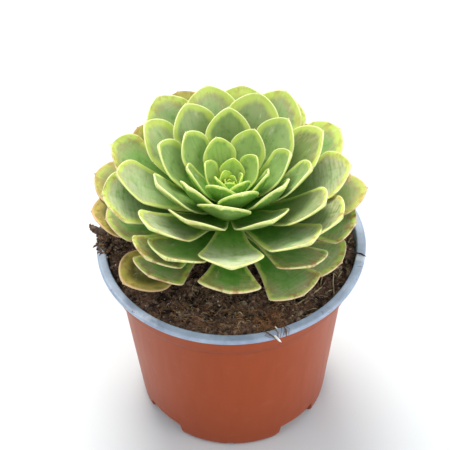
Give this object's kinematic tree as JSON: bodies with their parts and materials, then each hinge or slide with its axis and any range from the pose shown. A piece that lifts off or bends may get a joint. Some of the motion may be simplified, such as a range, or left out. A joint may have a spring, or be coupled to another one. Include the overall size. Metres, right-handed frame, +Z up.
{
  "type": "potted aeonium",
  "caption": "Potted aeonium: a dense rosette of pale-edged, spoon-shaped leaves on a short stem in soil, in a round tapered nursery pot with a flat rim.",
  "frame": {"origin": "centre of the pot's foot, on the surface that the pot stands on", "axes": "+Z up, -Y towards the side where the lowest leaves spread over the soil, +X to the right seen from that side"},
  "size_m": [0.1212, 0.1205, 0.1469],
  "materials": {
    "terracotta_plastic": "satin terracotta outside, blue-grey inside and on the rim",
    "potting_soil": "rough, crumbly, fibrous peat",
    "stem_bark": "matt bark with leaf scars",
    "leaf": "satin leaf skin, mid green with pale yellow-green margins"
  },
  "bodies": {
    "root": {"nursery_pot": "terracotta_plastic", "potting_soil": "potting_soil", "stem": "stem_bark", "rosette": "leaf"}
  },
  "joints": []
}
